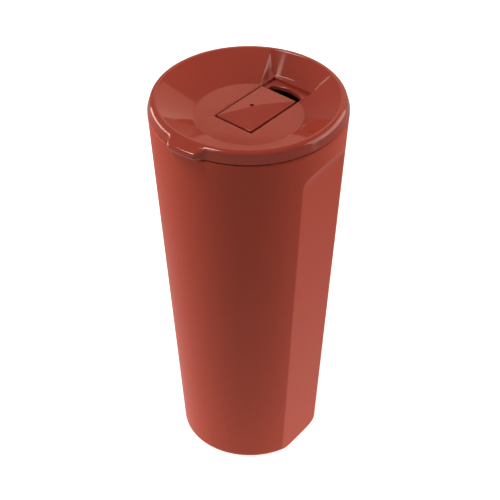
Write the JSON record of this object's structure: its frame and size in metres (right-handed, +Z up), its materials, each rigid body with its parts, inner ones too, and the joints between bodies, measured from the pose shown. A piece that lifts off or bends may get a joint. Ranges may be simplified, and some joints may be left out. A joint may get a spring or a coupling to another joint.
{
  "type": "insulated drinks tumbler with slider lid",
  "caption": "Tapered double-wall steel drinks tumbler with grip flats and a press-in lid whose sliding closure opens a sip hole and vent.",
  "frame": {"origin": "centre of the base, on the plane that the tumbler stands on", "axes": "+Z up along the cup's axis; +Y from the axis towards the sip hole, with the lifting tab at -Y; the two grip flats face +X and -X, turned 4.5 degrees about Z"},
  "size_m": [0.089, 0.0922, 0.188],
  "materials": {
    "shell_paint": "satin terracotta powder coat",
    "liner_steel": "brushed",
    "seal_bead": "fused sealing glass",
    "getter_metal": "sintered",
    "silicone": "translucent white silicone",
    "lid_plastic": "glossy moulded terracotta",
    "plug_plastic": "moulded terracotta",
    "keeper_plastic": "moulded"
  },
  "bodies": {
    "cup": {"outer_shell": "shell_paint", "inner_liner": "liner_steel", "base_cap": "shell_paint", "vacuum_base": "liner_steel", "vacuum_seal": "seal_bead", "getter": "getter_metal"},
    "lid": {"lid_top": "lid_plastic", "lid_plug": "plug_plastic", "lid_gasket": "silicone"},
    "slider": {"slider": "lid_plastic", "slider_seal": "silicone", "vent_pad": "silicone", "slider_keeper": "keeper_plastic"}
  },
  "joints": [
    {"name": "lid_pull", "type": "slide", "parent": "cup", "child": "lid", "axis": [0, 0, 1], "range_m": [0, 0.05]},
    {"name": "slider_slide", "type": "slide", "parent": "lid", "child": "slider", "axis": [0, 1, 0], "range_m": [0, 0.0093]}
  ]
}
